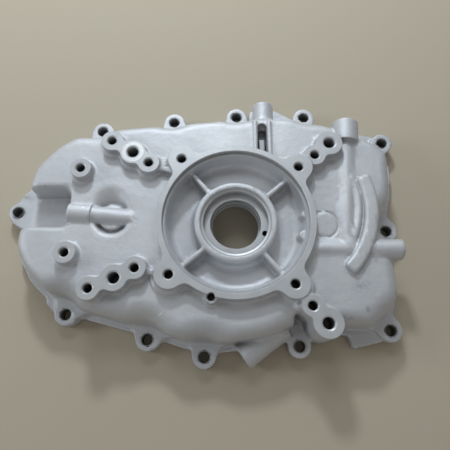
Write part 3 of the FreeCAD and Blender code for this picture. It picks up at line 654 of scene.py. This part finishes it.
def ramp(tree, value, stops):
    """Colour that runs through the stops as a value goes from 0 to 1."""
    item = node(tree, "ShaderNodeValToRGB")
    elements = item.color_ramp.elements
    while len(elements) < len(stops):
        elements.new(0.5)
    for element, (at, colour) in zip(elements, stops):
        element.position = at
        element.color = (*colour, 1.0)
    tree.links.new(value, item.inputs["Fac"])
    return item.outputs["Color"]


def mix(tree, kind, factor, a, b):
    """Two colours blended; the factor is a number or another node's output."""
    item = node(tree, "ShaderNodeMix", data_type="RGBA", blend_type=kind)
    if isinstance(factor, float):
        item.inputs[0].default_value = factor
    else:
        tree.links.new(factor, item.inputs[0])
    tree.links.new(a, item.inputs[6])
    tree.links.new(b, item.inputs[7])
    return item.outputs[2]


def bump(tree, shader, layers):
    """Bumps stacked on one another: height, strength and depth of each."""
    last = None
    for height, strength, depth in layers:
        item = node(tree, "ShaderNodeBump", Strength=strength, Distance=depth)
        tree.links.new(height, item.inputs["Height"])
        if last:
            tree.links.new(last, item.inputs["Normal"])
        last = item.outputs["Normal"]
    tree.links.new(last, shader.inputs["Normal"])


def shaded(tree, colour, reach, dark):
    """Colour darkened by ambient occlusion in corners and holes: painted shade."""
    item = node(tree, "ShaderNodeAmbientOcclusion", Distance=reach, samples=6)
    return mix(tree, "MULTIPLY", 1.0, colour, ramp(tree, item.outputs["AO"], [(0.05, dark), (0.75, WHITE)]))


def uneven_gloss(tree, shader, scale, low, high):
    """Roughness that wanders between two values."""
    gloss = node(tree, "ShaderNodeMapRange")
    gloss.inputs["To Min"].default_value = low
    gloss.inputs["To Max"].default_value = high
    tree.links.new(noise(tree, scale, 4.0), gloss.inputs["Value"])
    tree.links.new(gloss.outputs["Result"], shader.inputs["Roughness"])


# Stains, scratches, a pit's dark spot of painted shade and one painted highlight: place, half length and half
# width in millimetres, turn, colour, strength
MARKS_AND_PAINTED_LIGHT = [
    (94.5, -50.9, 36, 10, 6, 0.3, (0.3, 0.31, 0.33), 0.5),
    (78.7, -75.0, 34, 11, 4, 0.15, (0.22, 0.22, 0.23), 0.6),
    (16.4, 29.0, 37, 7, 4, 0.9, (0.3, 0.31, 0.34), 0.5),
    (97.3, -67.9, 36, 2.4, 3.2, 0.2, (0.32, 0.33, 0.35), 0.5),
    # painted shade: dark spot standing in for the shade inside a small pit that is not modelled
    (-154.7, 30.9, 36, 0.7, 0.6, 0.0, (0.12, 0.12, 0.13), 1.0),
    (-56.7, -71.5, 35, 3.0, 0.5, 0.6, (0.95, 0.96, 0.98), 1.0),
    (40.5, -82.1, 20, 8, 6, 0.0, (0.2, 0.2, 0.21), 0.45),
    # painted highlight: bright glint on the top of the stepped tube
    (-120.4, 10.8, 40, 1.2, 0.8, 0.0, (0.98, 0.98, 1.0), 1.0),
]


# Half length from which a mark also spreads over edges, and from which the grain breaks it up
LONG_MARK, STAIN = 2.0, 3.5


def with_marks_and_painted_light(tree, colour):
    """Colour with the marks, the painted shade and the painted highlight of the list laid over it, each
    fading out from its place.
    """
    where = node(tree, "ShaderNodeTexCoord")
    grain = ramp(tree, noise(tree, 420.0, 5.0, 0.7), [(0.38, BLACK), (0.62, WHITE)])
    for x, y, z, length, width, turn, tone, strength in MARKS_AND_PAINTED_LIGHT:
        place = node(tree, "ShaderNodeMapping", vector_type="TEXTURE")
        place.inputs["Location"].default_value = (x * 0.001, y * 0.001, z * 0.001)
        place.inputs["Rotation"].default_value = (0, 0, turn)
        height = 0.012 if length > LONG_MARK else 0.003
        place.inputs["Scale"].default_value = (length * 0.001, width * 0.001, height)
        tree.links.new(where.outputs["Object"], place.inputs["Vector"])
        spot = node(tree, "ShaderNodeTexGradient", gradient_type="SPHERICAL")
        tree.links.new(place.outputs["Vector"], spot.inputs["Vector"])
        level = spot.outputs["Fac"]
        if length > STAIN:
            level = mix(tree, "MULTIPLY", 1.0, level, grain)
        level = ramp(tree, level, [(0.05, BLACK), (0.6, (strength, strength, strength))])
        paint = node(tree, "ShaderNodeRGB")
        paint.outputs[0].default_value = (*tone, 1.0)
        colour = mix(tree, "MIX", level, colour, paint.outputs[0])
    return colour


def cast_metal():
    """Blasted aluminium casting: fine grain, slow stains, slightly blue, with painted shade in corners and
    holes and a painted highlight among its marks.
    """
    material, tree, shader = new_material("cast_aluminium")
    cloud = ramp(tree, noise(tree, 22.0, 3.0), [(0.30, (0.600, 0.615, 0.640)), (0.70, (0.690, 0.700, 0.720))])
    speck = ramp(tree, noise(tree, 1500.0, 2.0), [(0.30, (0.86, 0.86, 0.87)), (0.60, WHITE)])
    # painted shade: ambient occlusion darkens the colour in corners and holes; the marks add a painted
    # highlight and a pit's painted shade
    colour = shaded(tree, with_marks_and_painted_light(tree, mix(tree, "MULTIPLY", 0.8, cloud, speck)), 0.014, (0.36, 0.35, 0.34))
    tree.links.new(colour, shader.inputs["Base Color"])
    shader.inputs["Metallic"].default_value = 0.5
    uneven_gloss(tree, shader, 60.0, 0.54, 0.66)
    bump(tree, shader, [
        (noise(tree, 160.0, 3.0), 0.30, 0.0010), (noise(tree, 900.0, 3.0, 0.7), 0.45, 0.0003),
    ])
    return material


def machined_metal():
    """Faced metal with fine turning marks about the shaft axis, and painted shade in its holes and corners.
    """
    material, tree, shader = new_material("machined_aluminium")
    where = node(tree, "ShaderNodeTexCoord")
    rings = node(tree, "ShaderNodeTexWave", wave_type="RINGS", rings_direction="Z", Scale=420.0,
                 Distortion=0.6)
    rings.inputs["Detail Scale"].default_value = 1.0
    tree.links.new(where.outputs["Object"], rings.inputs["Vector"])
    shade = ramp(tree, noise(tree, 90.0, 4.0), [(0.30, (0.55, 0.565, 0.58)), (0.70, (0.63, 0.645, 0.66))])
    # painted shade: ambient occlusion darkens the colour in holes and corners almost to black
    tree.links.new(shaded(tree, shade, 0.010, (0.13, 0.125, 0.12)), shader.inputs["Base Color"])
    shader.inputs["Metallic"].default_value = 0.4
    shader.inputs["Roughness"].default_value = 0.46
    bump(tree, shader, [(rings.outputs["Fac"], 0.12, 0.0002), (noise(tree, 900.0), 0.08, 0.0002)])
    return material


def turned_metal_with_highlight():
    """Brighter, smoother metal where a boss has been faced again round its hole; its near-white colour is
    partly a painted highlight.
    """
    material, tree, shader = new_material("turned_aluminium_with_highlight")
    # painted highlight: near-white colour, partly the real brightness of freshly faced metal and partly the
    # light's reflection painted in
    shader.inputs["Base Color"].default_value = (0.95, 0.97, 0.99, 1)
    shader.inputs["Metallic"].default_value = 0.25
    uneven_gloss(tree, shader, 240.0, 0.22, 0.38)
    bump(tree, shader, [(noise(tree, 1200.0), 0.10, 0.0002)])
    return material


# ---------------------------------------------------------------- pieces


def casting_mesh(cast, machined):
    """The whole casting in its two finishes."""
    solid = build_solid()
    rough = smooth_max(solid.v + waviness() * 0.10, -build_cavity().v, 1.2)
    # the gasket face is a flat machined plane
    solid.v = np.maximum(rough, -AXES[2].reshape(1, 1, -1))
    drill(solid)
    mesh = field_mesh("casting", solid.v, adaptivity=0.28)
    mesh.materials.append(cast)
    mesh.materials.append(machined)
    centre = np.empty(len(mesh.polygons) * 3)
    normal = np.empty(len(mesh.polygons) * 3)
    mesh.polygons.foreach_get("center", centre)
    mesh.polygons.foreach_get("normal", normal)
    level = centre.reshape(-1, 3)[:, 2] * 1000
    up = normal.reshape(-1, 3)[:, 2]
    mesh.polygons.foreach_set("material_index", ((np.abs(level) < 0.1) & (up < -0.95)).astype(np.int32))
    return mesh


class Turned:
    """Mesh of lathe work and faced plates with exact edges, in millimetres."""

    def __init__(self):
        self.points, self.faces = [], []

    def add(self, points, faces):
        start = len(self.points)
        self.points += [tuple(p) for p in points]
        self.faces += [tuple(start + i for i in f) for f in faces]

    def rings(self, loops):
        """Skin between closed loops of equal count."""
        n = len(loops[0])
        faces = []
        for k in range(len(loops) - 1):
            for i in range(n):
                j = (i + 1) % n
                faces.append((k * n + i, k * n + j, k * n + n + j, k * n + n + i))
        self.add([p for loop in loops for p in loop], faces)

    def lathe(self, cx, cy, profile, count):
        """Full turn of a profile of radius and height; the metal is to the left of its travel."""
        self.rings([circle(cx, cy, r, z, count) for r, z in profile])

    def face(self, z, outer, holes):
        """Flat face at a level within a loop, less the holes."""
        rims = [circle(cx, cy, r, z, count) for cx, cy, r, count in holes]
        flat, edges = [], []
        for loop in [outer, *rims]:
            start, n = len(flat), len(loop)
            flat += [Vector(p[:2]) for p in loop]
            edges += [(start + i, start + (i + 1) % n) for i in range(n)]
        points, _, faces, _, _, _ = geometry.delaunay_2d_cdt(flat, edges, [], 0, 1e-5)
        kept = []
        for face in faces:
            middle = sum((points[i] for i in face), Vector((0, 0))) / 3
            open_here = any(math.hypot(middle.x - cx, middle.y - cy) < r for cx, cy, r, _ in holes)
            if not open_here and within(middle, outer):
                kept.append(face)
        self.add([(p.x, p.y, z) for p in points], kept)

    def build(self, name, material, angle=35):
        mesh = bpy.data.meshes.new(name)
        mesh.from_pydata((np.array(self.points) * 0.001).tolist(), [], self.faces)
        mesh.validate()
        mesh.shade_smooth()
        mesh.set_sharp_from_angle(angle=math.radians(angle))
        mesh.materials.append(material)
        piece = add_object(name, mesh)
        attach(piece, "root")


def within(p, loop):
    """Whether a point lies inside a closed loop."""
    inside = False
    for i, (bx, by, *_) in enumerate(loop):
        ax, ay = loop[i - 1][:2]
        if (ay > p.y) != (by > p.y) and p.x < ax + (bx - ax) * (p.y - ay) / (by - ay):
            inside = not inside
    return inside


def circle(cx, cy, r, z, count):
    return [(cx + r * math.cos(math.tau * i / count), cy + r * math.sin(math.tau * i / count), z)
            for i in range(count)]


def trace(plan, x, y, pitch):
    """Loop of points and outward normals along the line where a plan distance is zero."""
    first, loop = None, []
    for _ in range(3000):
        for _ in range(3):
            d = float(plan(x, y))
            gx = (float(plan(x + 0.01, y)) - d) * 100
            gy = (float(plan(x, y + 0.01)) - d) * 100
            size = math.hypot(gx, gy)
            gx, gy = gx / size, gy / size
            x, y = x - d * gx, y - d * gy
        if first is None:
            first = (x, y)
        elif len(loop) > 8 and math.hypot(x - first[0], y - first[1]) < pitch * 0.8:
            break
        loop.append((x, y, gx, gy))
        x, y = x - gy * pitch, y + gx * pitch
    return loop


def plate(turned, loop, top, holes, bevel=0.35):
    """Faced top of a boss: flat face, fine bevel and the start of its side."""
    def at(inset, z):
        return [(x - gx * inset, y - gy * inset, z) for x, y, gx, gy in loop]

    turned.face(top, at(bevel, top), holes)
    turned.rings([at(0.6, top - 2.0), at(0.0, top - bevel * 1.4), at(bevel, top)])


def thread(turned, cx, cy, core, major, pitch, top):
    """Threaded hole: bevelled mouth, helical thread, plain lower part and floor."""
    count = THREAD_SIDES
    loops = [circle(cx, cy, major + MOUTH, top, count)]
    depth = MOUTH
    while depth < 13.5:
        loop = []
        for i in range(count):
            u = (depth / pitch + i / count) % 1
            crest = 1 - abs(2 * u - 1)
            r = major - (major - core) * min(1.0, crest * 1.25)
            turn = math.tau * i / count
            loop.append((cx + r * math.cos(turn), cy + r * math.sin(turn), top - depth))
        loops.append(loop)
        depth += pitch / 6
    floor = top - THREAD_DEPTH
    loops += [circle(cx, cy, core, top - 14, count), circle(cx, cy, core, floor, count),
              circle(cx, cy, 0.1, floor - 0.3, count)]
    turned.rings(loops)


def machined_faces():
    """Faced plates on the bosses and the ring, and linings of the bores and plain holes."""
    t = Turned()
    for chain in CHAINS:
        cx, cy, r = chain[0]
        loop = trace(lambda x, y: chain_plan(chain, x, y), cx - r, cy + 0.01, 0.7)
        holes = [(hx, hy, major + MOUTH, THREAD_SIDES) for hx, hy, _, major, _, _ in THREADS
                 if any(math.hypot(hx - bx, hy - by) < 1 for bx, by, _ in chain)]
        plate(t, loop, BOSS_TOP, holes)
    loop = trace(lambda x, y: smooth_max(ring_plan(x, y), -disc(x, y, *LOCATOR, 2.7), 0.3), -RING, 0.0, 0.5)
    holes = [(0, 0, REGISTER + 0.35, 180)] + [(cx, cy, M8[1] + MOUTH, THREAD_SIDES) for cx, cy in RING_BOLTS]
    plate(t, loop, RING_TOP, holes)
    # register in the ring and the step below it
    t.lathe(0, 0, [(REGISTER + 0.35, RING_TOP), (REGISTER, RING_TOP - 0.35), (REGISTER, 41.5), (55.7, 41.5),
                   (55.0, 40.4)], 180)
    t.lathe(*LOCATOR, [(2.9, 41.1), (2.7, 40.9), (2.7, 31.0), (0.1, 31.0)], 28)
    # mouth of the hub, seal bore, seat, shaft bore with its groove, lip and bearing bore
    t.lathe(0, 0, [(29.3, 37.6), (28.6, 37.7), (27.9, 37.0), (27.5, 35.9), (SEAL, 35.4),
                   (SEAL, SEAL_SEAT)], 128)
    t.face(SEAL_SEAT, circle(0, 0, SEAL, 0, 128), [(0, 0, SHAFT + 0.3, 128), (*OIL_HOLE, 2.4, 24)])
    t.lathe(*OIL_HOLE, [(2.4, SEAL_SEAT), (2.3, SEAL_SEAT - 0.2), (2.3, 17.0), (0.1, 17.0)], 24)
    t.lathe(0, 0, [(SHAFT + 0.3, SEAL_SEAT), (SHAFT, SEAL_SEAT - 0.3), (SHAFT, 27.2), (21.8, 27.0),
                   (21.8, 25.0), (SHAFT, 24.8), (SHAFT, 19.6), (19.0, 19.6), (19.0, 18.0), (SEAL, 18.0),
                   (SEAL, 0.3), (SEAL + 0.3, 0.0)], 128)
    for cx, cy in EARS:
        t.lathe(cx, cy, [(EAR_HOLE + 0.35, FOOT), (EAR_HOLE, FOOT - 0.3), (EAR_HOLE, 0.4),
                         (EAR_HOLE + 0.4, 0.0)], 40)
    return t


def spot_face():
    """Bright ring, faced again round the middle hole of the first row; its brightness is partly a painted
    highlight.
    """
    t = Turned()
    x, y, _, major, _, top = THREADS[1]
    t.rings([circle(x, y, r, top + 0.03, 48) for r in (8.9, 6.6, major + MOUTH)])
    return t


def all_threads():
    t = Turned()
    for hole in THREADS:
        thread(t, *hole)
    return t


cast, machined = cast_metal(), machined_metal()
casting = add_object("casting", casting_mesh(cast, machined))
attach(casting, "root")
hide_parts("housing")
spot_face().build("spot_face", turned_metal_with_highlight())
machined_faces().build("machined_faces", machined)
all_threads().build("threads", machined, 60)

# ---------------------------------------------------------------- floor, light and camera


def plain(name, colour):
    material, _, shader = new_material(name)
    shader.inputs["Base Color"].default_value = (*colour, 1)
    shader.inputs["Roughness"].default_value = 0.9
    return material


# Just below the gasket face
GROUND = -0.0004
floor_mesh = bpy.data.meshes.new("floor")
floor_corners = [(-4, -4, GROUND), (4, -4, GROUND), (4, 4, GROUND), (-4, 4, GROUND)]
floor_mesh.from_pydata(floor_corners, [], [(0, 1, 2, 3)])
floor = add_object("floor", floor_mesh)
floor_mesh.materials.append(plain("floor", (0.52, 0.46, 0.355)))


def area_light(name, place, size, power, colour):
    """Rectangular lamp turned to the part's origin."""
    data = bpy.data.lights.new(name, "AREA")
    data.shape = "RECTANGLE"
    data.size, data.size_y = size
    data.energy = power
    data.color = colour
    lamp = bpy.data.objects.new(name, data)
    bpy.context.scene.collection.objects.link(lamp)
    lamp.location = place
    lamp.rotation_euler = (Vector((0, 0, 0)) - Vector(place)).to_track_quat("-Z", "Y").to_euler()


area_light("lamp", (-0.10, 0.66, 0.84), (0.30, 0.24), 1.5, (0.85, 0.93, 1.0))
area_light("window", (-0.14, 0.82, 0.60), (0.12, 0.08), 4.5, (0.85, 0.93, 1.0))
area_light("side", (-1.1, 0.10, 0.55), (0.36, 0.30), 3.0, (0.88, 0.95, 1.0))
area_light("sky", (0.5, 1.3, 0.9), (1.2, 0.7), 2.6, (0.84, 0.93, 1.0))
area_light("room", (0.5, -1.7, 1.1), (1.4, 1.0), 2.0, (1.0, 0.94, 0.90))

world = bpy.data.worlds.new("studio")
bpy.context.scene.world = world
world.use_nodes = True
glow = world.node_tree.nodes["Background"]
glow.inputs["Color"].default_value = (1.0, 0.99, 0.97, 1)
glow.inputs["Strength"].default_value = 0.22

camera_data = bpy.data.cameras.new("camera")
camera_data.lens = 33.2
camera_data.sensor_width = 36.0
camera = bpy.data.objects.new("camera", camera_data)
bpy.context.scene.collection.objects.link(camera)
# level from left to right, tipped up from looking straight down
right = Vector((1, 0, 0))
up = Vector((0, 0.9548, 0.2974)).normalized()
back = right.cross(up)
turn = Matrix((right, up, back)).transposed().to_4x4()
camera.matrix_world = Matrix.Translation((-0.0086, -0.0999, 0.3478)) @ turn
bpy.context.scene.camera = camera

bpy.context.scene.view_settings.view_transform = "Standard"
